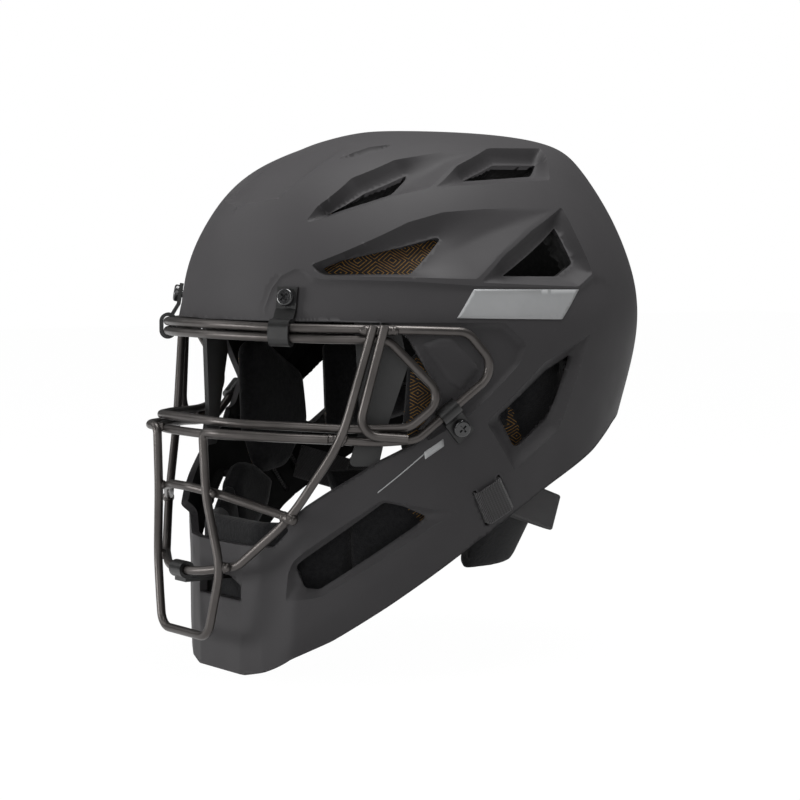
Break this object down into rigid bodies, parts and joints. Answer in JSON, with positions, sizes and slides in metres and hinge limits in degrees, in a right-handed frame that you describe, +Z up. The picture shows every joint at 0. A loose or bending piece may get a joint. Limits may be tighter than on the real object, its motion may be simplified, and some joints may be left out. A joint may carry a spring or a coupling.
{
  "type": "baseball catcher helmet",
  "caption": "Hockey-style catcher's helmet: vented hard shell with a chin bar, welded wire cage held by clips, foam lining and a padded nape harness.",
  "frame": {"origin": "middle of the head space, on the middle plane, level with the brow edge of the shell", "axes": "+Z up to the crown, -Y out through the face opening, +X to the wearer's left"},
  "size_m": [0.2246, 0.273, 0.2787],
  "materials": {
    "shell": "matte charcoal moulded shell",
    "cage": "satin gun-metal coated steel wire",
    "clip": "black moulded plastic",
    "hardware": "black coated steel",
    "foam": "black impact foam",
    "pad": "black knit fabric over foam",
    "plate": "dark grey moulded plastic",
    "webbing": "dark grey ribbed webbing"
  },
  "bodies": {
    "root": {"brow_clip_left": "clip", "brow_clip_right": "clip", "brow_pad": "pad", "cage_cross_wire": "cage", "cage_front_wire": "cage", "cage_inner_loop": "cage", "cage_long_strut": "cage", "cage_outer_loop": "cage", "cage_short_strut_left": "cage", "cage_short_strut_right": "cage", "chin_clip": "clip", "chin_pad": "pad", "clip_nuts": "hardware", "clip_screws": "hardware", "crown_pad": "pad", "ear_pad_left": "pad", "ear_pad_right": "pad", "jaw_pad_left": "pad", "jaw_pad_right": "pad", "liner": "foam", "rear_pad": "pad", "shell": "shell", "side_clip_left": "clip", "side_clip_right": "clip", "strap_anchor_left": "webbing", "strap_anchor_right": "webbing", "temple_plate_left": "plate", "temple_plate_right": "plate"},
    "nape_harness": {"nape_pad": "pad", "nape_strap_left": "webbing", "nape_strap_right": "webbing"}
  },
  "joints": [
    {"name": "nape_swing", "type": "hinge", "parent": "root", "child": "nape_harness", "pos_m": [0, -0.0093, -0.0802], "axis": [1, 0, 0], "range_deg": [-20, 12], "stiffness_Nm_per_rad": 0.35}
  ]
}
